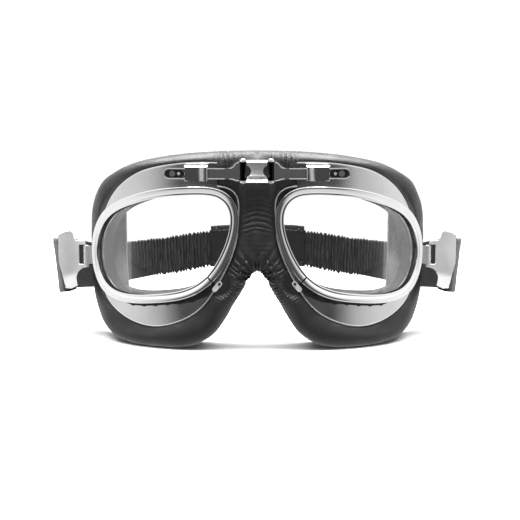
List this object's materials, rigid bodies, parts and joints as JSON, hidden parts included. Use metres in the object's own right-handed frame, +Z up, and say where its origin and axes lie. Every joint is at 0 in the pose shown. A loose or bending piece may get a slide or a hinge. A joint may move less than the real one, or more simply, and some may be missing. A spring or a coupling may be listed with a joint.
{
  "type": "motorcycle goggles",
  "caption": "Aviator-style riding goggles: clear curved lenses in chrome frames on leather face pads, with a hinged sliding nose bridge, swinging strap hooks and an elastic head strap.",
  "frame": {"origin": "on the floor under the middle of the whole object, strap loop included, with the goggles standing on the lower edge of their pads", "axes": "+Z is up, -Y is the way the wearer looks, +X is to the right as seen from the front"},
  "size_m": [0.2382, 0.1554, 0.1072],
  "materials": {
    "chrome": "polished",
    "satin_steel": "satin",
    "black_steel": "satin",
    "clear_lens": "gloss",
    "black_rubber": "matte",
    "black_leather": "satin",
    "grey_lining": "matte",
    "black_elastic": "matte"
  },
  "bodies": {
    "bridge": {"bridge_link": "chrome", "hinge_pin_right": "chrome", "hinge_pin_left": "chrome", "nose_leather": "black_leather", "strap_panel": "black_leather", "strap_rivet_lower_right": "satin_steel", "strap_rivet_upper_right": "satin_steel", "strap_rivet_lower_left": "satin_steel", "strap_rivet_upper_left": "satin_steel"},
    "arm_right": {"bridge_arm_right": "satin_steel", "elastic_inner_right": "black_elastic"},
    "frame_right": {"eye_frame_right": "satin_steel", "lens_rim_right": "chrome", "lens_right": "clear_lens", "lens_gasket_right": "black_rubber", "clamp_ring_right": "black_steel", "face_pad_right": "black_leather", "pad_lining_right": "grey_lining", "arm_keeper_right": "chrome", "adjuster_screw_right": "satin_steel", "guide_stud_right": "chrome", "strap_lug_right": "satin_steel", "lug_rivet_lower_right": "satin_steel", "lug_rivet_upper_right": "satin_steel", "clasp_pin_right": "chrome", "elastic_outer_right": "black_elastic"},
    "clasp_right": {"clasp_right": "chrome"},
    "hook_right": {"strap_hook_right": "satin_steel", "strap_end_right": "black_leather"},
    "arm_left": {"bridge_arm_left": "satin_steel", "elastic_inner_left": "black_elastic"},
    "frame_left": {"eye_frame_left": "satin_steel", "lens_rim_left": "chrome", "lens_left": "clear_lens", "lens_gasket_left": "black_rubber", "clamp_ring_left": "black_steel", "face_pad_left": "black_leather", "pad_lining_left": "grey_lining", "arm_keeper_left": "chrome", "adjuster_screw_left": "satin_steel", "guide_stud_left": "chrome", "strap_lug_left": "satin_steel", "lug_rivet_lower_left": "satin_steel", "lug_rivet_upper_left": "satin_steel", "clasp_pin_left": "chrome", "elastic_outer_left": "black_elastic"},
    "clasp_left": {"clasp_left": "chrome"},
    "hook_left": {"strap_hook_left": "satin_steel", "strap_end_left": "black_leather"}
  },
  "joints": [
    {"name": "bridge_hinge_right", "type": "hinge", "parent": "bridge", "child": "arm_right", "pos_m": [0.00745, -0.07524, 0.0977], "axis": [0, 0, 1], "range_deg": [-8, 10], "deforming": ["nose_leather", "elastic_inner_right"]},
    {"name": "bridge_slide_right", "type": "slide", "parent": "arm_right", "child": "frame_right", "axis": [0.9833, 0.1822, 0], "range_m": [-0.002, 0.002], "deforming": ["elastic_outer_right", "nose_leather"]},
    {"name": "clasp_swing_right", "type": "hinge", "parent": "frame_right", "child": "clasp_right", "pos_m": [0.02033, -0.07187, 0.03687], "axis": [-0.0075, 1, 0], "range_deg": [0, 75]},
    {"name": "hook_swing_right", "type": "hinge", "parent": "frame_right", "child": "hook_right", "pos_m": [0.0985, -0.02686, 0.048], "axis": [0, 0, 1], "range_deg": [-20, 35], "deforming": ["strap_end_right"]},
    {"name": "bridge_hinge_left", "type": "hinge", "parent": "bridge", "child": "arm_left", "pos_m": [-0.00745, -0.07524, 0.0977], "axis": [0, 0, -1], "range_deg": [-8, 10], "deforming": ["nose_leather", "elastic_inner_left"]},
    {"name": "bridge_slide_left", "type": "slide", "parent": "arm_left", "child": "frame_left", "axis": [-0.9833, 0.1822, 0], "range_m": [-0.002, 0.002], "deforming": ["elastic_outer_left", "nose_leather"]},
    {"name": "clasp_swing_left", "type": "hinge", "parent": "frame_left", "child": "clasp_left", "pos_m": [-0.02033, -0.07187, 0.03687], "axis": [-0.0075, -1, 0], "range_deg": [0, 75]},
    {"name": "hook_swing_left", "type": "hinge", "parent": "frame_left", "child": "hook_left", "pos_m": [-0.0985, -0.02686, 0.048], "axis": [0, 0, -1], "range_deg": [-20, 35], "deforming": ["strap_end_left"]}
  ]
}
